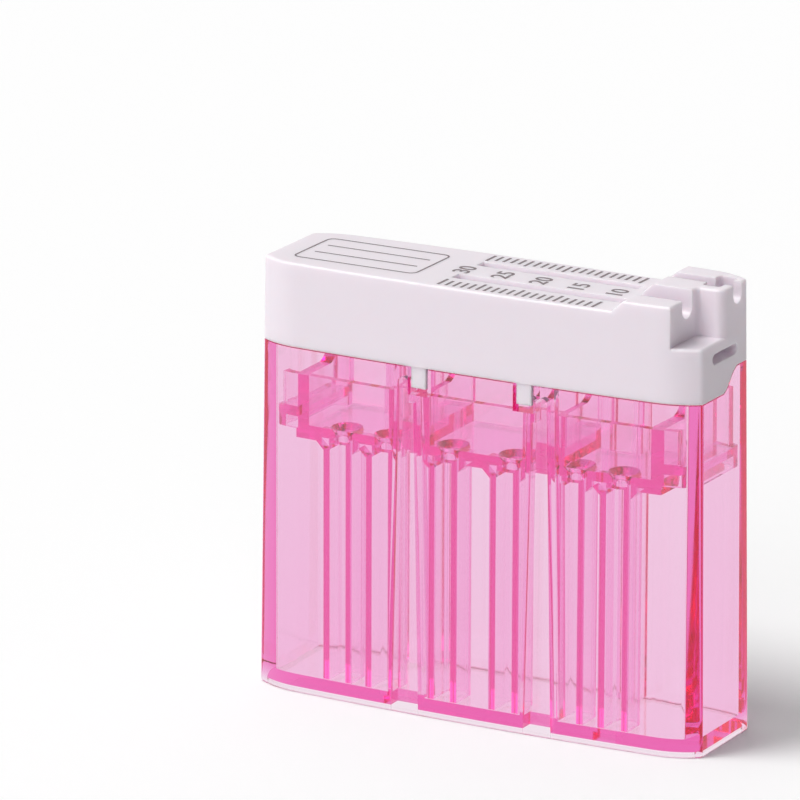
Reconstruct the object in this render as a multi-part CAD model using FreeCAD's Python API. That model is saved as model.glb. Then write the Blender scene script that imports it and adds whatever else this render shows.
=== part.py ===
import FreeCAD, Part
import math
import os
from FreeCAD import Vector

# Endodontic file box: a clear tub, a clear file tray standing in it and a measuring lid
# hinged at the back. Millimetres, +Z up, +Y to the hinge, +X to the raised end of the lid.
# The origin is the centre of the foot.

# Plan outline at the parting line, shared by the tub and the lid
LENGTH = 57.5
WIDTH = 16.0
SHOULDER_SETBACK = 5.05
SHOULDER_INSET = 0.6
CORNER_INSET = 2.35
CORNER_RADIUS = 0.7
INSIDE_RADIUS = 0.5
DRAFT_DEGREES = 0.75

# Tub
TUB_HEIGHT = 42.0
REAR_RISE = 2.6
RISE_START_Y = -0.35
RISE_RUN = 3.4
RISE_BULGE = 0.16
TUB_WALL = 1.4
END_WALL = 2.05
TUB_FLOOR = 1.4
FOOT_RECESS = 0.5
FOOT_RIM_WIDTH = 1.3
FOOT_EDGE_RADIUS = 0.3

# Hollow posts on the inside of the front wall
POST_X = 8.75
POST_FOOT_WIDTH = 4.9
POST_TOP_WIDTH = 3.3
POST_FOOT_DEPTH = 1.6
POST_TOP_DEPTH = 1.2
POST_SKIN = 0.6
POST_OUTER_SKIN = 0.65
POST_CORE_DROP = 4.4
POST_ARCH_RISE = 3.0
POST_ARCH_WIDTH = 1.5

# Latch notches in the front rim and the lid's latch tabs
NOTCH_X = 6.9
NOTCH_WIDTH = 2.65
NOTCH_DEPTH = 3.25
TAB_WIDTH = 1.9
TAB_DROP = 2.4
TAB_THICKNESS = 1.1
TAB_SETBACK = 0.15

# Hinge columns on the inside of the back wall
COLUMN_X = 13.75
COLUMN_WIDTH = 4.7
COLUMN_DEPTH = 2.95
CHEEK = 0.9
COLUMN_CORE_DROP = 4.0

# Hinge, whose axis lies inside the back of the outline
PIN_SETBACK = 1.15
PIN_DIAMETER = 1.0
BARREL_DIAMETER = 2.2
PIN_RUNNING_GAP = 0.03
PIN_END_SETBACK = 0.1
BARREL_SIDE_GAP = 0.15
BARREL_SWEEP_GAP = 0.25
ARM_THICKNESS = 1.5
REAR_BEVEL_DEGREES = 53.0

# File tray that stands in the tub
TRAY_GAP = 0.15
TRAY_RIM_DROP = 3.35
TRAY_WALL = 0.85
BAY_FLOOR_TOP = 32.45
BAY_FLOOR = 1.5
BAY_END_X = 22.4
BAY_END_WALL = 1.5
BAY_INNER_X = 11.5
MIDDLE_BAY_HALF = 6.4
DIVIDER_WALL = 0.8
END_SHELF_TOP = 34.5
END_SHELF = 1.2
END_SKIRT_DEPTH = 2.5
POST_WALL = 0.7

# Holes and U-shaped wells for six files
WELL_X = (4.05, 12.45, 18.2)
WELL_SETBACK = 4.5
HOLE_DIAMETER = 2.3
SINK_DIAMETER = 3.7
WELL_GAP = 2.2
WELL_WALL = 0.85
GUSSET = 1.0

# Lid
LID_GAP = 0.12
LID_HEIGHT = 10.2
LID_WALL = 1.3
LID_ROOF = 1.6
LID_EDGE_RADIUS = 0.3

# Raised end of the lid, with lengths taken from its end face
RAMP_SETBACK = 10.75
RAMP_DEGREES = 43.0
FRONT_STRIP_RISE = 1.3
BLOCK_RISE = 2.1
LEDGE_LENGTH = 3.5
LEDGE_Y = -0.45
LEDGE_DROP = 3.55
LEDGE_INNER_RADIUS = 0.5
LEDGE_OUTER_RADIUS = 1.0
END_SOLID_LENGTH = 4.85
END_ROOF_DROP = 6.8

# Measuring channels in the lid's top, given by their centre lines
CHANNEL_START = -4.8
CHANNEL_FLOOR_DROP = 0.7
FRONT_CHANNEL_Y = -2.85
FRONT_CHANNEL_WIDTH = 1.8
REAR_CHANNEL_Y = 3.15
REAR_CHANNEL_WIDTH = 1.7
REAR_CHANNEL_SETBACK = 12.45

# Round-bottomed grooves through the raised end, and the pocket behind the rear one
FRONT_GROOVE_WIDTH = 2.45
FRONT_GROOVE_DROP = 1.05
REAR_GROOVE_WIDTH = 2.15
REAR_GROOVE_DROP = 0.24
STOP_POCKET_LENGTH = 2.3
STOP_POCKET_WIDTH = 4.66
STOP_POCKET_DEPTH = 4.0
STOP_POCKET_RADIUS = 0.5

# Rounded slot in the lid's end face
SLOT_LENGTH = 6.2
SLOT_HEIGHT = 1.3
SLOT_DEPTH = 2.0
SLOT_Y = 0.0
SLOT_ABOVE_RIM = 4.75

# Values worked out from the sizes above
HALF_LENGTH = LENGTH / 2
LID_TOP = TUB_HEIGHT + LID_HEIGHT
BLOCK_TOP = LID_TOP + BLOCK_RISE
FLOOR_TOP = FOOT_RECESS + TUB_FLOOR
REAR_RIM = TUB_HEIGHT + REAR_RISE
PIN_Y = WIDTH / 2 - PIN_SETBACK
PIN_Z = REAR_RIM
COLUMN_FACE_Y = PIN_Y - COLUMN_DEPTH
COLUMN_CORE_TOP = REAR_RIM - COLUMN_CORE_DROP
POST_CORE_TOP = TUB_HEIGHT - POST_CORE_DROP
WELL_Y = WELL_SETBACK - WIDTH / 2
DRAFT = math.tan(math.radians(DRAFT_DEGREES))
FOOT_GROWTH = TUB_HEIGHT * DRAFT
CHANNEL_FLOOR = LID_TOP - CHANNEL_FLOOR_DROP
RAMP_START = HALF_LENGTH - RAMP_SETBACK
LEDGE_X = HALF_LENGTH - LEDGE_LENGTH
REAR_CHANNEL_END = HALF_LENGTH - REAR_CHANNEL_SETBACK
TRAY_OPEN_X = HALF_LENGTH - END_WALL - TRAY_GAP - TRAY_WALL
BAY_OUTER_X = BAY_END_X + BAY_END_WALL
FAR = 100.0
SIDES = (("left", -1), ("right", 1))


def box(x0, x1, y0, y1, z0, z1):
    """Box between two corners."""
    return Part.makeBox(x1 - x0, y1 - y0, z1 - z0, Vector(x0, y0, z0))


def rod_x(x0, x1, y, z, radius):
    """Cylinder along X."""
    return Part.makeCylinder(radius, x1 - x0, Vector(x0, y, z), Vector(1, 0, 0))


def mirrored(x0, x1, sign):
    """Range of X on the right, or its mirror image on the left."""
    return (x0, x1) if sign > 0 else (-x1, -x0)


def arc_points(centre, radius, start, finish):
    """Start, middle and end of an arc between two directions, given as angles."""
    angles = (start, (start + finish) / 2, finish)
    return [centre + Vector(math.cos(a), math.sin(a), 0) * radius for a in angles]


def plan_wire(growth, end_growth, corner, z):
    """Closed outline: flat ends, rounded corners, tight shoulders and long bowed sides.

    The sides are offset by growth and the ends by end_growth.
    """
    joint = Vector(HALF_LENGTH - SHOULDER_SETBACK, WIDTH / 2 - SHOULDER_INSET, 0)
    side_radius = (joint.x ** 2 + SHOULDER_INSET ** 2) / (2 * SHOULDER_INSET)
    side_centre = Vector(0, WIDTH / 2 - side_radius, 0)
    normal = (joint - side_centre).normalize()
    chord = Vector(HALF_LENGTH, WIDTH / 2 - CORNER_INSET, 0) - joint
    radius = -chord.dot(chord) / (2 * normal.dot(chord))
    centre = joint - normal * radius

    end_x = HALF_LENGTH + end_growth
    reach = end_x - corner - centre.x
    rise = math.sqrt((radius + growth - corner) ** 2 - reach ** 2)
    corner_centre = centre + Vector(reach, rise, 0)
    turn = math.atan2(rise, reach)
    lean = math.atan2(normal.y, normal.x)
    arcs = [
        arc_points(corner_centre, corner, 0, turn),
        arc_points(centre, radius + growth, turn, lean),
        arc_points(side_centre, side_radius + growth, lean, math.pi - lean),
    ]
    arcs += [[Vector(-p.x, p.y, 0) for p in reversed(arc)] for arc in reversed(arcs[:2])]
    edges = []
    for sign in (1, -1):
        for arc in arcs:
            edges.append(Part.Arc(*[Vector(sign * p.x, sign * p.y, z) for p in arc]).toShape())
        corner_y = sign * arcs[-1][-1].y
        low = Vector(-sign * end_x, corner_y, z)
        edges.append(Part.LineSegment(low, Vector(low.x, -corner_y, z)).toShape())
    return Part.Wire(edges)


def prism(growth, end_growth, z0, z1):
    """Upright prism on the plan outline with the inside corners' radius."""
    face = Part.Face(plan_wire(growth, end_growth, INSIDE_RADIUS, z0))
    return face.extrude(Vector(0, 0, z1 - z0))


def room(gap, z0, z1):
    """Space inside the tub's walls, less a gap all round."""
    return prism(-TUB_WALL - gap, -END_WALL - gap, z0, z1)


def level_edges(shape, z):
    """Edges that lie at one height."""
    return [e for e in shape.Edges if all(abs(v.Point.z - z) < 1e-6 for v in e.Vertexes)]


def upright_edges(shape, x, y):
    """Edges that stand near one place in plan."""
    near = 0.5
    found = []
    for edge in shape.Edges:
        ends = [vertex.Point for vertex in edge.Vertexes]
        stands = len(ends) == 2 and abs(ends[0].z - ends[1].z) > 1
        if stands and all(math.hypot(p.x - x, p.y - y) < near for p in ends):
            found.append(edge)
    return found


def envelope(z0, z1):
    """Part of the outside of tub and lid together: the plan outline with a slight draft."""
    wires = []
    for z in (0, BLOCK_TOP):
        growth = (TUB_HEIGHT - z) * DRAFT
        wires.append(plan_wire(growth, growth, CORNER_RADIUS, z))
    return Part.makeLoft(wires, True, True).common(box(-FAR, FAR, -FAR, FAR, z0, z1))


def above_rim(lift):
    """Everything above the parting surface: level in front, stepped up in an S to the back."""
    low = TUB_HEIGHT + lift
    high = low + REAR_RISE
    y0 = RISE_START_Y
    y1 = RISE_START_Y + RISE_RUN
    y_mid = (y0 + y1) / 2
    z_mid = (low + high) / 2
    start = Vector(0, y0, low)
    middle = Vector(0, y_mid, z_mid)
    finish = Vector(0, y1, high)
    square = Vector(0, REAR_RISE, -RISE_RUN).normalize() * RISE_BULGE
    lower_mid = (start + middle) / 2 + square
    upper_mid = (middle + finish) / 2 - square
    corners = [Vector(0, FAR, high), Vector(0, FAR, FAR), Vector(0, -FAR, FAR), Vector(0, -FAR, low)]
    edges = [Part.Arc(start, lower_mid, middle).toShape(), Part.Arc(middle, upper_mid, finish).toShape()]
    path = [finish] + corners + [start]
    edges += [Part.LineSegment(a, b).toShape() for a, b in zip(path, path[1:])]
    face = Part.Face(Part.Wire(edges))
    face.translate(Vector(-FAR, 0, 0))
    return face.extrude(Vector(2 * FAR, 0, 0))


def rear_wedge(direction):
    """Wedge behind the hinge axis, above it for the tub or below it for the lid."""
    reach = 10.0
    drop = reach * math.tan(math.radians(REAR_BEVEL_DEGREES))
    axis = Vector(-FAR, PIN_Y, PIN_Z)
    bevel_end = Vector(-FAR, PIN_Y + reach, PIN_Z - direction * drop)
    level_end = Vector(-FAR, PIN_Y + reach, PIN_Z)
    face = Part.Face(Part.makePolygon([axis, bevel_end, level_end, axis]))
    return face.extrude(Vector(2 * FAR, 0, 0))


def tapered_post(x, foot_width, top_width, foot_y, top_y, root_y, z0, z1, growth):
    """Post that narrows upwards, from its inner face at foot_y or top_y out to root_y."""
    inward = 1 if foot_y > root_y else -1

    def section(width, y, z):
        half = width / 2 + growth
        face_y = y + inward * growth
        points = [Vector(x - half, root_y, z), Vector(x + half, root_y, z)]
        points += [Vector(x + half, face_y, z), Vector(x - half, face_y, z)]
        return Part.makePolygon(points + points[:1])

    return Part.makeLoft([section(foot_width, foot_y, z0), section(top_width, top_y, z1)], True, True)


def side_y(x, growth):
    """Half width of the plan outline at a given X, offset by growth."""
    section = prism(growth, growth, 0, 1).section(box(x, x + 1, 0, FAR, 0, 1))
    return max(v.Point.y for v in section.Vertexes if abs(v.Point.x - x) < 1e-6)


def front_post(sign, growth):
    """Post behind the front wall."""
    wall_y = -side_y(POST_X, -TUB_WALL)
    return tapered_post(sign * POST_X, POST_FOOT_WIDTH, POST_TOP_WIDTH, wall_y + POST_FOOT_DEPTH,
                        wall_y + POST_TOP_DEPTH, wall_y - TUB_WALL / 2, FLOOR_TOP - TUB_FLOOR / 2,
                        TUB_HEIGHT, growth)


def front_post_core(sign):
    """Hollow in a front post, open at the foot and closed by an arch beside the notch."""
    wall_y = -side_y(POST_X, -TUB_WALL)
    x = sign * POST_X
    foot_width = POST_FOOT_WIDTH - 2 * POST_SKIN
    top_width = POST_TOP_WIDTH - 2 * POST_SKIN
    root = POST_OUTER_SKIN - side_y(POST_X, 0)
    core = tapered_post(x, foot_width, top_width, wall_y + POST_FOOT_DEPTH - POST_SKIN,
                        wall_y + POST_TOP_DEPTH - POST_SKIN, root, -1, POST_CORE_TOP, 0)
    outer = POST_X + top_width / 2
    x0, x1 = mirrored(outer - POST_ARCH_WIDTH, outer, sign)
    radius = POST_ARCH_WIDTH / 2
    shoulder = POST_CORE_TOP + POST_ARCH_RISE - radius
    y1 = wall_y + POST_TOP_DEPTH - POST_SKIN
    neck = box(x0, x1, root, y1, POST_CORE_TOP - 1, shoulder)
    arch = Part.makeCylinder(radius, y1 - root, Vector((x0 + x1) / 2, root, shoulder), Vector(0, 1, 0))
    return core.fuse([neck, arch])


def hinge_column(sign, growth, top):
    """Column behind the back wall that carries one hinge pin."""
    half = COLUMN_WIDTH / 2 + growth
    x = sign * COLUMN_X
    return box(x - half, x + half, COLUMN_FACE_Y - growth, PIN_Y, FLOOR_TOP - TUB_FLOOR / 2, top)


def hinge_span(inset):
    """X range of the hinge on the right side, from the column's outside by an inset."""
    half = COLUMN_WIDTH / 2 - inset
    return COLUMN_X - half, COLUMN_X + half


def make_tub():
    """Clear tub with posts, latch notches, hinge columns and a recessed foot."""
    outer = envelope(0, REAR_RIM)
    outer = outer.makeFillet(FOOT_EDGE_RADIUS, level_edges(outer, 0))
    outer = outer.cut(above_rim(0))
    tub = outer.cut(room(0, FLOOR_TOP, FAR))
    for _, sign in SIDES:
        tub = tub.fuse([front_post(sign, 0), hinge_column(sign, 0, REAR_RIM)])
    tub = tub.common(outer)
    tub = tub.cut(rear_wedge(1))
    foot_inset = FOOT_GROWTH - FOOT_RIM_WIDTH
    tub = tub.cut(prism(foot_inset, foot_inset, -1, FOOT_RECESS))
    for _, sign in SIDES:
        ears = rod_x(*mirrored(*hinge_span(0), sign), PIN_Y, PIN_Z, BARREL_DIAMETER / 2)
        x0, x1 = mirrored(*hinge_span(CHEEK), sign)
        sweep = BARREL_DIAMETER / 2 + BARREL_SWEEP_GAP
        pocket = box(x0, x1, PIN_Y - sweep, FAR, PIN_Z - sweep, FAR)
        column_core = box(x0, x1, COLUMN_FACE_Y + CHEEK, PIN_Y - CHEEK / 2, -1, COLUMN_CORE_TOP)
        bore = rod_x(*mirrored(*hinge_span(-1), sign), PIN_Y, PIN_Z, PIN_DIAMETER / 2)
        n0, n1 = mirrored(NOTCH_X - NOTCH_WIDTH / 2, NOTCH_X + NOTCH_WIDTH / 2, sign)
        notch = box(n0, n1, -FAR, -WIDTH / 4, TUB_HEIGHT - NOTCH_DEPTH, FAR)
        tub = tub.fuse(ears).cut([pocket, column_core, bore, notch, front_post_core(sign)])
    return tub.removeSplitter()


def bay(x0, x1, floor):
    """Open bay between two X values, inside the tray's own wall."""
    return room(TRAY_GAP + TRAY_WALL, floor, FAR).common(box(x0, x1, -FAR, FAR, floor, FAR))


def tray_bays():
    """Three file bays, two narrow gaps between them and two pockets that are open at the ends."""
    gap_0 = MIDDLE_BAY_HALF + DIVIDER_WALL
    gap_1 = BAY_INNER_X - DIVIDER_WALL
    bays = [bay(-MIDDLE_BAY_HALF, MIDDLE_BAY_HALF, BAY_FLOOR_TOP)]
    for _, sign in SIDES:
        bays.append(bay(*mirrored(BAY_INNER_X, BAY_END_X, sign), BAY_FLOOR_TOP))
        bays.append(bay(*mirrored(gap_0, gap_1, sign), END_SHELF_TOP))
        bays.append(bay(*mirrored(BAY_OUTER_X, FAR, sign), END_SHELF_TOP))
        bays.append(box(*mirrored(TRAY_OPEN_X, FAR, sign), -FAR, FAR, END_SHELF_TOP, FAR))
    grown = TRAY_GAP + POST_WALL
    keep = [front_post(sign, grown) for _, sign in SIDES]
    keep += [hinge_column(sign, grown, FAR) for _, sign in SIDES]
    return [one.cut(keep) for one in bays]


def file_hole(x):
    """Countersunk hole through a bay's floor."""
    bottom = BAY_FLOOR_TOP - BAY_FLOOR
    depth = (SINK_DIAMETER - HOLE_DIAMETER) / 2
    hole = Part.makeCylinder(HOLE_DIAMETER / 2, BAY_FLOOR + 2, Vector(x, WELL_Y, bottom - 1))
    sink = Part.makeCone(HOLE_DIAMETER / 2, SINK_DIAMETER / 2, depth,
                         Vector(x, WELL_Y, BAY_FLOOR_TOP - depth))
    return hole.fuse(sink)


def u_shape(x, radius, z0, z1):
    """U in plan: a half round at the back with straight sides that run out past the front."""
    back = Part.makeCylinder(radius, z1 - z0, Vector(x, WELL_Y, z0))
    return back.fuse(box(x - radius, x + radius, -WIDTH, WELL_Y, z0, z1))


def file_well(x):
    """U-shaped well under a hole, down to the tub's floor, with gussets under the bay."""
    top = BAY_FLOOR_TOP - BAY_FLOOR
    inner = WELL_GAP / 2
    well = u_shape(x, inner + WELL_WALL, FLOOR_TOP, top)
    for side in (-1, 1):
        rib_x = x + side * (inner + WELL_WALL / 2)
        half = WELL_WALL / 2
        low = top - GUSSET
        points = [Vector(rib_x - half, 0, low), Vector(rib_x + half, 0, low)]
        points += [Vector(rib_x + half + GUSSET, 0, top), Vector(rib_x - half - GUSSET, 0, top)]
        face = Part.Face(Part.makePolygon(points + points[:1]))
        face.translate(Vector(0, -WIDTH, 0))
        well = well.fuse(face.extrude(Vector(0, WIDTH + WELL_Y, 0)))
    return well.cut(u_shape(x, inner, 0, top))


def make_file_tray():
    """Clear tray with three bays, countersunk holes and the wells that it stands on."""
    bay_bottom = BAY_FLOOR_TOP - BAY_FLOOR
    tray = room(TRAY_GAP, bay_bottom, REAR_RIM).cut(above_rim(-TRAY_RIM_DROP))
    skirt_bottom = END_SHELF_TOP - END_SKIRT_DEPTH
    under_shelf = room(TRAY_GAP + TRAY_WALL, 0, END_SHELF_TOP - END_SHELF)
    for _, sign in SIDES:
        below_end = box(*mirrored(BAY_OUTER_X, FAR, sign), -FAR, FAR, 0, skirt_bottom)
        end_room = box(*mirrored(BAY_OUTER_X, FAR, sign), -FAR, FAR, 0, FAR)
        tray = tray.cut([below_end, under_shelf.common(end_room)])
    tray = tray.cut(tray_bays())
    trim = room(TRAY_GAP, 0, FAR)
    wells = [file_well(sign * x).common(trim) for x in WELL_X for _, sign in SIDES]
    tray = tray.fuse(wells)
    tray = tray.cut([file_hole(sign * x) for x in WELL_X for _, sign in SIDES])
    for _, sign in SIDES:
        tray = tray.cut([front_post(sign, TRAY_GAP), hinge_column(sign, TRAY_GAP, FAR)])
    return tray.removeSplitter()


def rounded_top(height):
    """Lid's outside up to one height, with its upper edge rounded."""
    solid = envelope(TUB_HEIGHT, height)
    return solid.makeFillet(LID_EDGE_RADIUS, level_edges(solid, height))


def stepped_top(height):
    """The same without the ledge's corner, whose upright edges are rounded too."""
    solid = envelope(TUB_HEIGHT, height)
    solid = solid.cut(box(LEDGE_X, FAR, -FAR, LEDGE_Y, 0, FAR))
    solid = solid.makeFillet(LEDGE_INNER_RADIUS, upright_edges(solid, LEDGE_X, LEDGE_Y))
    solid = solid.makeFillet(LEDGE_OUTER_RADIUS, upright_edges(solid, HALF_LENGTH, LEDGE_Y))
    return solid.makeFillet(LID_EDGE_RADIUS, level_edges(solid, height))


def behind_ramp(rise, y0, y1):
    """Space behind and under the ramp, up to one rise, between two Y values."""
    ramp_end = RAMP_START + rise / math.tan(math.radians(RAMP_DEGREES))
    top = LID_TOP + rise
    profile = [Vector(RAMP_START, y0, LID_TOP), Vector(ramp_end, y0, top), Vector(FAR, y0, top)]
    profile += [Vector(FAR, y0, 0), Vector(RAMP_START, y0, 0)]
    return Part.Face(Part.makePolygon(profile + profile[:1])).extrude(Vector(0, y1 - y0, 0))


def lid_block():
    """Solid lid: flat top, raised end with a lower front strip, and the ledge in its corner."""
    flat = rounded_top(LID_TOP).common(box(-FAR, RAMP_START, -FAR, FAR, 0, FAR))
    front = stepped_top(LID_TOP + FRONT_STRIP_RISE)
    front = front.common(behind_ramp(FRONT_STRIP_RISE, -FAR, FRONT_CHANNEL_Y))
    rear = stepped_top(BLOCK_TOP).common(behind_ramp(BLOCK_RISE, FRONT_CHANNEL_Y, FAR))
    ledge = rounded_top(LID_TOP - LEDGE_DROP).common(box(RAMP_START, FAR, -FAR, FAR, 0, FAR))
    return flat.fuse([front, rear, ledge])


def groove(x0, y, width, drop):
    """Round-bottomed groove from x0 out through the end."""
    radius = width / 2
    centre_z = LID_TOP - drop + radius
    slot = box(x0, FAR, y - radius, y + radius, centre_z, FAR)
    return slot.fuse(rod_x(x0, FAR, y, centre_z, radius))


def channel(x0, x1, y, width):
    """Flat-bottomed channel that is open above."""
    return box(x0, x1, y - width / 2, y + width / 2, CHANNEL_FLOOR, FAR)


def end_slot():
    """Blind slot with round ends in the lid's end face."""
    radius = SLOT_HEIGHT / 2
    z = TUB_HEIGHT + SLOT_ABOVE_RIM
    reach = SLOT_LENGTH / 2 - radius
    x = HALF_LENGTH - SLOT_DEPTH
    ends = [rod_x(x, FAR, SLOT_Y + side * reach, z, radius) for side in (-1, 1)]
    return box(x, FAR, SLOT_Y - reach, SLOT_Y + reach, z - radius, z + radius).fuse(ends)


def stop_pocket():
    """Pocket behind the rear groove, level with the ledge's back, with rounded corners."""
    half = STOP_POCKET_WIDTH / 2
    x1 = LEDGE_X + STOP_POCKET_LENGTH
    y0 = REAR_CHANNEL_Y - half
    y1 = REAR_CHANNEL_Y + half
    pocket = box(LEDGE_X, x1, y0, y1, LID_TOP - STOP_POCKET_DEPTH, FAR)
    corners = [edge for x in (LEDGE_X, x1) for y in (y0, y1) for edge in upright_edges(pocket, x, y)]
    return pocket.makeFillet(STOP_POCKET_RADIUS, corners)


def lid_top_cuts():
    """Channels, grooves, stop pocket and end slot."""
    return [
        channel(CHANNEL_START, RAMP_START, FRONT_CHANNEL_Y, FRONT_CHANNEL_WIDTH),
        channel(CHANNEL_START, REAR_CHANNEL_END, REAR_CHANNEL_Y, REAR_CHANNEL_WIDTH),
        groove(RAMP_START, FRONT_CHANNEL_Y, FRONT_GROOVE_WIDTH, FRONT_GROOVE_DROP),
        groove(RAMP_START, REAR_CHANNEL_Y, REAR_GROOVE_WIDTH, REAR_GROOVE_DROP),
        stop_pocket(),
        end_slot(),
    ]


def hinge_arm(sign):
    """Lid's arm and barrel on one hinge pin."""
    x0, x1 = mirrored(*hinge_span(CHEEK + BARREL_SIDE_GAP), sign)
    barrel = rod_x(x0, x1, PIN_Y, PIN_Z, BARREL_DIAMETER / 2)
    half = ARM_THICKNESS / 2
    return barrel.fuse(box(x0, x1, PIN_Y - half, PIN_Y + half, PIN_Z, LID_TOP - LID_ROOF / 2))


def make_lid():
    """Measuring lid: a shell with latch tabs in front and hinge arms at the back."""
    hollow = prism(-LID_WALL, -LID_WALL, 0, LID_TOP - LID_ROOF)
    solid_end = box(HALF_LENGTH - END_SOLID_LENGTH, FAR, -FAR, FAR, LID_TOP - END_ROOF_DROP, FAR)
    lid = lid_block().common(above_rim(LID_GAP)).cut(hollow.cut(solid_end))
    lid = lid.cut([rear_wedge(-1)] + lid_top_cuts())
    for _, sign in SIDES:
        ear_room = rod_x(*mirrored(*hinge_span(-BARREL_SWEEP_GAP), sign), PIN_Y, PIN_Z,
                         BARREL_DIAMETER / 2 + BARREL_SWEEP_GAP)
        bore = rod_x(*mirrored(*hinge_span(0), sign), PIN_Y, PIN_Z, PIN_DIAMETER / 2 + PIN_RUNNING_GAP)
        lid = lid.cut(ear_room).fuse([hinge_arm(sign), latch_tab(sign)]).cut(bore)
    return lid.removeSplitter()


def latch_tab(sign):
    """Tab that hangs from the lid's front edge into a notch."""
    x0, x1 = mirrored(NOTCH_X - TAB_WIDTH / 2, NOTCH_X + TAB_WIDTH / 2, sign)
    outside = -TAB_SETBACK
    inside = outside - TAB_THICKNESS
    top = TUB_HEIGHT + LID_WALL
    skin = prism(outside, outside, TUB_HEIGHT - TAB_DROP, top).cut(prism(inside, inside, 0, FAR))
    return skin.common(box(x0, x1, -FAR, 0, 0, FAR))


def make_pin(sign):
    """Straight steel hinge pin."""
    x0, x1 = mirrored(*hinge_span(PIN_END_SETBACK), sign)
    return rod_x(x0, x1, PIN_Y, PIN_Z, PIN_DIAMETER / 2)


def main():
    os.makedirs("parts", exist_ok=True)
    nodes = {"tub": make_tub(), "file_tray": make_file_tray(), "lid": make_lid()}
    for side, sign in SIDES:
        nodes["hinge_pin_" + side] = make_pin(sign)
    for name, shape in nodes.items():
        solid = shape.Solids[0] if len(shape.Solids) == 1 else shape
        size = solid.optimalBoundingBox(False)
        limits = (size.XMin, size.XMax, size.YMin, size.YMax, size.ZMin, size.ZMax)
        print(name, "solids", len(shape.Solids), "valid", solid.isValid(), "volume", round(solid.Volume, 1),
              "box", [round(v, 2) for v in limits])
        solid.exportStep("parts/" + name + ".step")


main()
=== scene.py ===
# %% [markdown]
# A box for endodontic files has three mouldings: a clear pink tub, a clear pink tray that stands
# in it and a white lid with a ruler on its top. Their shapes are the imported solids. This lesson
# gives them their plastics, prints the ruler and lights the box on a white table.

# %% Load the solids
import math

import bmesh
import bpy
from mathutils import Matrix, Vector


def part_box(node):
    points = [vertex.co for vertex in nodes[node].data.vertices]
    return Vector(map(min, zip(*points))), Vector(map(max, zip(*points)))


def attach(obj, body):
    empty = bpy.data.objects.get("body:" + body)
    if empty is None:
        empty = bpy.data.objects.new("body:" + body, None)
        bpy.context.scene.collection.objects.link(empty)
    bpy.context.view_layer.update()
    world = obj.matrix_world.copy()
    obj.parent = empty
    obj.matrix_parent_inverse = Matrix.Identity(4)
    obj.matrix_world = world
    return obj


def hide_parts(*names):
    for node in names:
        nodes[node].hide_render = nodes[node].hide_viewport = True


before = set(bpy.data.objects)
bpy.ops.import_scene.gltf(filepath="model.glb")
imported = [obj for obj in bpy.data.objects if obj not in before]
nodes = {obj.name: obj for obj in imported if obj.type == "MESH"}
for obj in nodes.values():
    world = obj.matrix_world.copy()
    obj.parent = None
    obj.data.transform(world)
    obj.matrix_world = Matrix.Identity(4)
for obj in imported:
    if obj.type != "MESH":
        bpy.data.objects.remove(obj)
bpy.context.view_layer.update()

MM = 0.001

# %% [markdown]
# Every finish here is a small node tree. A few helpers keep the trees short to read: they start a
# material with its Principled shader, add a node with its values and its links, and let a noise
# set the roughness, because no moulding or wire is evenly smooth.

# %% Helpers for node trees
def new_material(name):
    material = bpy.data.materials.new(name)
    material.use_nodes = True
    tree = material.node_tree
    return material, tree, tree.nodes["Principled BSDF"]


def add_node(tree, kind, values=None, links=None, **settings):
    """Adds a node, sets its sockets and settings, and links other nodes' outputs into it."""
    node = tree.nodes.new(kind)
    for key, value in settings.items():
        setattr(node, key, value)
    for key, value in (values or {}).items():
        node.inputs[key].default_value = value
    for key, output in (links or {}).items():
        tree.links.new(output, node.inputs[key])
    return node


def object_noise(tree, scale, detail=2.0, stretch=(1.0, 1.0, 1.0)):
    """Noise on the object's own coordinates, so it stays put when the lid moves."""
    coordinates = add_node(tree, "ShaderNodeTexCoord")
    mapping = add_node(tree, "ShaderNodeMapping", {"Scale": stretch},
                       {"Vector": coordinates.outputs["Object"]})
    return add_node(tree, "ShaderNodeTexNoise", {"Scale": scale, "Detail": detail},
                    {"Vector": mapping.outputs["Vector"]})


def uneven_gloss(tree, surface, noise, roughness, noise_range=(0.3, 0.7)):
    """Roughness between two values, following a noise over the range that it mostly keeps to."""
    gloss = add_node(tree, "ShaderNodeMapRange",
                     {"From Min": noise_range[0], "From Max": noise_range[1],
                      "To Min": roughness[0], "To Max": roughness[1]},
                     {"Value": noise.outputs["Fac"]})
    tree.links.new(gloss.outputs["Result"], surface.inputs["Roughness"])


def dress(obj, material):
    obj.data.materials.clear()
    obj.data.materials.append(material)


# %% [markdown]
# Clear tinted plastic has hardly any colour at its surface. The colour comes from the way that
# light travels inside: a thin wall looks pale, and an edge, where the light runs along the
# moulding, looks deep magenta. A tint on the surface can't do that, so the surface stays almost
# colourless and a Volume Absorption node takes green out of the light, then some blue. Light that
# is caught in a rib bounces many times before it leaves, so Cycles is given enough bounces.

# %% Clear pink plastic
PLASTIC_IOR = 1.57
PLASTIC_SURFACE = (1.0, 0.985, 0.992, 1.0)
PLASTIC_ROUGHNESS = (0.02, 0.07)
SMEARS_PER_METRE = 160.0
WAVES_PER_METRE = 55.0
WAVES_DRAWN_UPWARD = (1.0, 1.0, 0.35)
WAVE_HEIGHT = 0.05 * MM
TUB_ABSORPTION = ((0.968, 0.0, 0.66, 1.0), 117.0)
TRAY_ABSORPTION = ((0.975, 0.0, 0.68, 1.0), 195.0)

cycles = bpy.context.scene.cycles
cycles.max_bounces = 64
cycles.transmission_bounces = 64
cycles.glossy_bounces = 48
cycles.diffuse_bounces = 8


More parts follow.
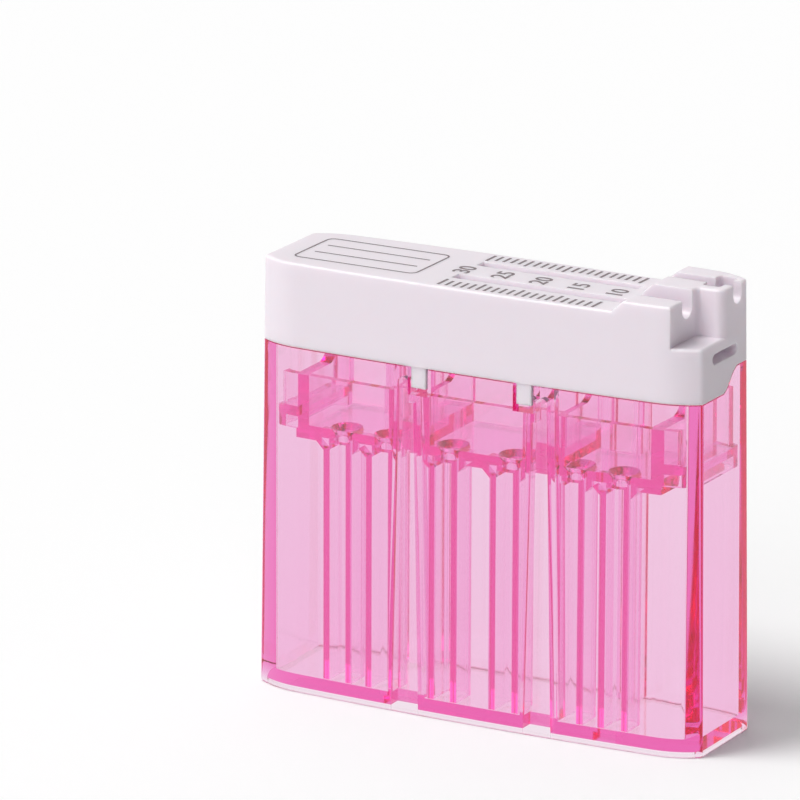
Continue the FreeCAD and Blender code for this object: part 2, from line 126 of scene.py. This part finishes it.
def clear_plastic(name, absorption):
    material, tree, surface = new_material(name)
    surface.inputs["Base Color"].default_value = PLASTIC_SURFACE
    surface.inputs["Transmission Weight"].default_value = 1.0
    surface.inputs["IOR"].default_value = PLASTIC_IOR
    smears = object_noise(tree, SMEARS_PER_METRE, 4.0)
    uneven_gloss(tree, surface, smears, PLASTIC_ROUGHNESS, (0.35, 0.75))
    waves = object_noise(tree, WAVES_PER_METRE, 1.0, WAVES_DRAWN_UPWARD)
    bump = add_node(tree, "ShaderNodeBump", {"Strength": 1.0, "Distance": WAVE_HEIGHT},
                    {"Height": waves.outputs["Fac"]})
    tree.links.new(bump.outputs["Normal"], surface.inputs["Normal"])
    color, density = absorption
    tint = add_node(tree, "ShaderNodeVolumeAbsorption", {"Color": color, "Density": density})
    tree.links.new(tint.outputs["Volume"], tree.nodes["Material Output"].inputs["Volume"])
    return material


dress(nodes["tub"], clear_plastic("clear_pink", TUB_ABSORPTION))
dress(nodes["file_tray"], clear_plastic("clear_pink_tray", TRAY_ABSORPTION))
print("absorption per metre:", TUB_ABSORPTION[1], "in the tub,",
      TRAY_ABSORPTION[1], "in the tray")

# %% [markdown]
# The wells of the tray stand on the floor of the tub, and in the solids these two clear surfaces
# lie in one plane. Light that comes to that plane bounces between them until Cycles gives it up,
# and the wells get black feet. Real mouldings have a film of air there. So the tray that is seen
# is a copy of the solid, its feet cut short by three hundredths of a millimetre. A copy of the
# mesh keeps the solid's own normals, which the clear walls need to bend light evenly.

# %% Tray with air under its feet
AIR_FILM = 0.03 * MM

foot_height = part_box("file_tray")[0][2]
tray_mesh = nodes["file_tray"].data.copy()
tray_mesh.name = "tray_on_air"
feet = [v for v in tray_mesh.vertices if v.co.z < foot_height + AIR_FILM / 2]
for vertex in feet:
    vertex.co.z += AIR_FILM
tray_on_air = bpy.data.objects.new("tray_on_air", tray_mesh)
bpy.context.scene.collection.objects.link(tray_on_air)
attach(tray_on_air, "box")
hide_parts("file_tray")
print("raised", len(feet), "vertices of the feet above", round(foot_height / MM, 3), "mm")

# %% [markdown]
# The lid is a white plastic with a fine satin mould texture, a little lilac. Light goes about a
# millimetre into such a white, which softens its shadows, so the shader has subsurface
# scattering. The Bevel node rounds the crisp edges of the grooves.

# %% White lid plastic
LID_WHITE = (0.84, 0.775, 0.83, 1.0)
LID_IOR = 1.53
LID_ROUGHNESS = (0.29, 0.39)
LIGHT_DEPTH = 0.9 * MM
LIGHT_DEPTH_BY_COLOR = (1.0, 0.9, 0.9)
EDGE_RADIUS = 0.2 * MM
GRAINS_PER_METRE = 2600.0
GRAIN_HEIGHT = 0.004 * MM
PATCHES_PER_METRE = 90.0


def satin_plastic(name, color):
    material, tree, surface = new_material(name)
    surface.inputs["Base Color"].default_value = color
    surface.inputs["IOR"].default_value = LID_IOR
    surface.inputs["Subsurface Weight"].default_value = 1.0
    surface.inputs["Subsurface Radius"].default_value = LIGHT_DEPTH_BY_COLOR
    surface.inputs["Subsurface Scale"].default_value = LIGHT_DEPTH
    uneven_gloss(tree, surface, object_noise(tree, PATCHES_PER_METRE, 3.0), LID_ROUGHNESS)
    grain = object_noise(tree, GRAINS_PER_METRE, 3.0)
    soft_edge = add_node(tree, "ShaderNodeBevel", {"Radius": EDGE_RADIUS}, samples=4)
    bump = add_node(tree, "ShaderNodeBump", {"Strength": 1.0, "Distance": GRAIN_HEIGHT},
                    {"Height": grain.outputs["Fac"], "Normal": soft_edge.outputs["Normal"]})
    tree.links.new(bump.outputs["Normal"], surface.inputs["Normal"])
    return material


dress(nodes["lid"], satin_plastic("white_lid", LID_WHITE))
print("light goes", round(LIGHT_DEPTH / MM, 2), "mm into the lid")

# %% [markdown]
# The hinge pins are short lengths of drawn stainless wire. Drawing leaves fine lines along the
# wire, so the noise is stretched along X, and the roughness follows it.

# %% Steel for the hinge pins
STEEL_COLOR = (0.62, 0.61, 0.60, 1.0)
STEEL_ROUGHNESS = (0.22, 0.4)
LINES_PER_METRE = 9000.0
LINES_DRAWN_OUT = (0.03, 1.0, 1.0)


def drawn_steel(name):
    material, tree, surface = new_material(name)
    surface.inputs["Base Color"].default_value = STEEL_COLOR
    surface.inputs["Metallic"].default_value = 1.0
    lines = object_noise(tree, LINES_PER_METRE, 2.0, LINES_DRAWN_OUT)
    uneven_gloss(tree, surface, lines, STEEL_ROUGHNESS)
    return material


steel = drawn_steel("steel_pin")
for side in ("left", "right"):
    dress(nodes["hinge_pin_" + side], steel)
print("hinge pins are", round(nodes["hinge_pin_left"].dimensions.y / MM, 2), "mm thick")

# %% [markdown]
# The ruler is a dark grey marking on the lid. It could be an image, but a real mark has crisp
# edges at any distance, so each tick is a flat plate of its own, two hundredths of a
# millimetre proud of the lid. The ticks are a millimetre apart, and every fifth is longer.

# %% Ruler ticks
LID_TOP = 52.2
INK_LIFT = 0.02
TICK_WIDTH = 0.33
RULER_ZERO_X = 25.22
RULER_FIRST, RULER_LAST = 10, 30
LONG_TICK_EVERY = 5
FRONT_ROW = (-7.05, -5.10, -4.60)
REAR_ROW = (6.95, 5.05, 4.57)
DENSE_INK = (0.165, 0.130, 0.140, 1.0)
THIN_INK = (0.260, 0.212, 0.225, 1.0)
INK_ROUGHNESS = 0.6
SPECKLES_PER_METRE = 1400.0


def marking_ink(name):
    material, tree, surface = new_material(name)
    speckle = object_noise(tree, SPECKLES_PER_METRE, 3.0)
    shade = add_node(tree, "ShaderNodeMixRGB", {"Color1": DENSE_INK, "Color2": THIN_INK},
                     {"Fac": speckle.outputs["Fac"]})
    tree.links.new(shade.outputs["Color"], surface.inputs["Base Color"])
    surface.inputs["Roughness"].default_value = INK_ROUGHNESS
    return material


def finish_piece(bm, name, material, body):
    """Turns a bmesh in millimetres into a piece that rides on a body."""
    bmesh.ops.scale(bm, vec=(MM, MM, MM), verts=bm.verts)
    mesh = bpy.data.meshes.new(name)
    bm.to_mesh(mesh)
    bm.free()
    obj = bpy.data.objects.new(name, mesh)
    bpy.context.scene.collection.objects.link(obj)
    dress(obj, material)
    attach(obj, body)
    return obj


def add_plate(bm, x0, x1, y0, y1, z0, z1):
    """A flat plate between two corners."""
    made = bmesh.ops.create_cube(bm, size=1.0)
    size = Vector((x1 - x0, y1 - y0, z1 - z0))
    middle = Vector((x0 + x1, y0 + y1, z0 + z1)) / 2
    bmesh.ops.scale(bm, vec=size, verts=made["verts"])
    bmesh.ops.translate(bm, vec=middle, verts=made["verts"])


ink = marking_ink("ruler_marks")
bm = bmesh.new()
for reading in range(RULER_FIRST, RULER_LAST + 1):
    x = RULER_ZERO_X - reading
    for outer, short, long in (FRONT_ROW, REAR_ROW):
        inner = long if reading % LONG_TICK_EVERY == 0 else short
        low, high = sorted((outer, inner))
        add_plate(bm, x - TICK_WIDTH / 2, x + TICK_WIDTH / 2, low, high,
                  LID_TOP, LID_TOP + INK_LIFT)
ruler_ticks = finish_piece(bm, "ruler_ticks", ink, "lid")
print("ruler ticks:", 2 * (RULER_LAST - RULER_FIRST + 1))

# %% [markdown]
# The numbers are plain text. They read from the back of the box, so they are turned a quarter
# turn: their tops point to the low end of the lid. Text is made a mesh, and then it is turned
# and moved in its mesh.

# %% Ruler numbers
DIGIT_HEIGHT = 2.2
CAP_SHARE = 0.73
DIGIT_BOLDNESS = 0.03
NUMBER_Y = 0.0
NUMBER_SHIFT = -0.3


def add_number(bm, text, x, y):
    curve = bpy.data.curves.new("number_" + text, "FONT")
    curve.body = text
    curve.align_x = "CENTER"
    curve.align_y = "CENTER"
    curve.size = DIGIT_HEIGHT / CAP_SHARE
    curve.extrude = INK_LIFT / 2
    curve.offset = DIGIT_BOLDNESS
    source = bpy.data.objects.new("number_" + text, curve)
    bpy.context.scene.collection.objects.link(source)
    bpy.context.view_layer.update()
    mesh = bpy.data.meshes.new_from_object(source)
    low = min(v.co.y for v in mesh.vertices)
    high = max(v.co.y for v in mesh.vertices)
    left = min(v.co.x for v in mesh.vertices)
    right = max(v.co.x for v in mesh.vertices)
    centre = Matrix.Translation((-(left + right) / 2, -(low + high) / 2, 0))
    place = Matrix.Translation((x, y, LID_TOP + INK_LIFT / 2))
    mesh.transform(place @ Matrix.Rotation(math.radians(90), 4, "Z") @ centre)
    bm.from_mesh(mesh)
    bpy.data.objects.remove(source)
    bpy.data.meshes.remove(mesh)


bm = bmesh.new()
for reading in range(RULER_FIRST, RULER_LAST + 1, LONG_TICK_EVERY):
    add_number(bm, str(reading), RULER_ZERO_X - reading + NUMBER_SHIFT, NUMBER_Y)
ruler_numbers = finish_piece(bm, "ruler_numbers", ink, "lid")
print("numbers are", round(ruler_numbers.dimensions.y / MM, 2), "mm wide")

# %% [markdown]
# The low end of the lid has a plain frame to write in, of the same print as the ruler. A rounded
# outline is easiest from a flat box: its corners are bevelled, and an inset leaves the rim.

# %% Frame to write in
FRAME_X = (-25.6, -9.2)
FRAME_Y = (-4.6, 4.6)
FRAME_CORNER = 1.0
FRAME_LINE = 0.22
WRITING_LINES_Y = (-1.5, 1.6)
WRITING_LINE_INSET = 1.4

bm = bmesh.new()
add_plate(bm, *FRAME_X, *FRAME_Y, LID_TOP, LID_TOP + INK_LIFT)
upright = [e for e in bm.edges if abs(e.verts[0].co.z - e.verts[1].co.z) > INK_LIFT / 2]
bmesh.ops.bevel(bm, geom=upright, offset=FRAME_CORNER, segments=6, profile=0.5,
                affect="EDGES", material=-1)
caps = [f for f in bm.faces if abs(f.normal.z) > 0.5]
bmesh.ops.inset_region(bm, faces=caps, thickness=FRAME_LINE)
middles = [f for f in bm.faces if abs(f.normal.z) > 0.5 and len(f.verts) > 4]
bmesh.ops.bridge_loops(bm, edges=[e for f in middles for e in f.edges])
bmesh.ops.delete(bm, geom=middles, context="FACES_ONLY")
bmesh.ops.recalc_face_normals(bm, faces=bm.faces)
for y in WRITING_LINES_Y:
    add_plate(bm, FRAME_X[0] + WRITING_LINE_INSET, FRAME_X[1] - WRITING_LINE_INSET,
              y - FRAME_LINE / 2, y + FRAME_LINE / 2, LID_TOP, LID_TOP + INK_LIFT)
writing_frame = finish_piece(bm, "writing_frame", ink, "lid")
print("the frame has", len(writing_frame.data.polygons), "faces")

# %% [markdown]
# The box stands on a wide white table. To the camera it is a pale matt surface that takes the
# box's shadow and glows a little, so that it comes out white. Cycles doesn't send a lamp's light
# straight through clear plastic, so the table inside and behind the tub would be too dark: to
# rays that come through plastic or off a glossy surface it is an even white card instead.

# %% Table and background
TABLE_COLOR = (0.93, 0.93, 0.93, 1.0)
TABLE_REACH = 6.0
TABLE_GLOW = 0.10
CARD_WHITE = 0.89
WHITE = (1.0, 1.0, 1.0, 1.0)


def seen_in_plastic(tree):
    """1 where a reflection or a view through plastic meets the surface."""
    path = add_node(tree, "ShaderNodeLightPath")
    return add_node(tree, "ShaderNodeMath", None,
                    {0: path.outputs["Is Glossy Ray"], 1: path.outputs["Is Transmission Ray"]},
                    operation="MAXIMUM")


def table_material():
    material, tree, surface = new_material("white_table")
    surface.inputs["Base Color"].default_value = TABLE_COLOR
    surface.inputs["Roughness"].default_value = 0.9
    surface.inputs["Specular IOR Level"].default_value = 0.0
    surface.inputs["Emission Color"].default_value = WHITE
    path = add_node(tree, "ShaderNodeLightPath")
    glow = add_node(tree, "ShaderNodeMath", {1: TABLE_GLOW}, {0: path.outputs["Is Camera Ray"]},
                    operation="MULTIPLY")
    tree.links.new(glow.outputs[0], surface.inputs["Emission Strength"])
    card = add_node(tree, "ShaderNodeEmission", {"Strength": CARD_WHITE})
    seen = seen_in_plastic(tree)
    mix = add_node(tree, "ShaderNodeMixShader", None,
                   {0: seen.outputs[0], 1: surface.outputs["BSDF"], 2: card.outputs["Emission"]})
    tree.links.new(mix.outputs["Shader"], tree.nodes["Material Output"].inputs["Surface"])
    return material


bm = bmesh.new()
bmesh.ops.create_grid(bm, x_segments=1, y_segments=1, size=TABLE_REACH)
table_mesh = bpy.data.meshes.new("table")
bm.to_mesh(table_mesh)
bm.free()
table = bpy.data.objects.new("table", table_mesh)
bpy.context.scene.collection.objects.link(table)
dress(table, table_material())
print("the table is", 2 * TABLE_REACH, "m wide")

# %% [markdown]
# The room round the table is white to the camera and in the plastic. As a light it is stronger
# from the left than from the right, which leaves the right end of the lid in a soft grey.

# %% Room
AMBIENT_LEFT = 0.55
AMBIENT_RIGHT = 0.06

world = bpy.data.worlds.new("studio")
world.use_nodes = True
tree = world.node_tree
tree.nodes.clear()
direction = add_node(tree, "ShaderNodeTexCoord")
along = add_node(tree, "ShaderNodeSeparateXYZ", None, {"Vector": direction.outputs["Generated"]})
ambient = add_node(tree, "ShaderNodeMapRange",
                   {"From Min": -0.3, "From Max": 0.7,
                    "To Min": AMBIENT_LEFT, "To Max": AMBIENT_RIGHT},
                   {"Value": along.outputs["X"]})
path = add_node(tree, "ShaderNodeLightPath")
seen = seen_in_plastic(tree)
carded = add_node(tree, "ShaderNodeMapRange", {"To Max": CARD_WHITE},
                  {"Value": seen.outputs[0], "To Min": ambient.outputs["Result"]})
strength = add_node(tree, "ShaderNodeMapRange", {"To Max": 1.0},
                    {"Value": path.outputs["Is Camera Ray"], "To Min": carded.outputs["Result"]})
sky = add_node(tree, "ShaderNodeBackground", {"Color": WHITE},
               {"Strength": strength.outputs["Result"]})
add_node(tree, "ShaderNodeOutputWorld", None, {"Surface": sky.outputs["Background"]})
bpy.context.scene.world = world
print("the room's light falls from", AMBIENT_LEFT, "at the left to", AMBIENT_RIGHT, "at the right")

# %% [markdown]
# Product studios light clear plastic softly from all sides. A broad sun from above and the left
# makes the lid's top and its rounded edges the brightest, and a very wide one fills its front.

# %% Lights
def add_sun(name, strength, spread, toward):
    """A sun whose light travels along a direction."""
    light = bpy.data.lights.new(name, "SUN")
    light.energy = strength
    light.angle = math.radians(spread)
    lamp = bpy.data.objects.new(name, light)
    lamp.rotation_euler = Vector(toward).to_track_quat("-Z", "Y").to_euler()
    bpy.context.scene.collection.objects.link(lamp)


add_sun("key", strength=1.92, spread=28.0, toward=(0.40, 0.35, -0.90))
add_sun("fill", strength=0.65, spread=60.0, toward=(-0.10, 0.95, -0.30))

# %% [markdown]
# The photograph was taken from the front and the right, a little above, with a long lens. The
# camera stands where the corners of the box fit the picture.

# %% Camera
CAMERA_PLACE = (0.409395, -0.756943, 0.289502)
CAMERA_AIM = (-0.01204, -0.00295, 0.03623)
LENS = 348.2
SENSOR_WIDTH = 36.0

camera_data = bpy.data.cameras.new("camera")
camera_data.lens = LENS
camera_data.sensor_width = SENSOR_WIDTH
camera_data.clip_start = 0.01
camera = bpy.data.objects.new("camera", camera_data)
camera.location = CAMERA_PLACE
look = Vector(CAMERA_AIM) - Vector(CAMERA_PLACE)
camera.rotation_euler = look.to_track_quat("-Z", "Y").to_euler()
bpy.context.scene.collection.objects.link(camera)
bpy.context.scene.camera = camera
bpy.context.scene.view_settings.view_transform = "Standard"
print("the camera is", round((Vector(CAMERA_PLACE) - Vector(CAMERA_AIM)).length, 3), "m away")
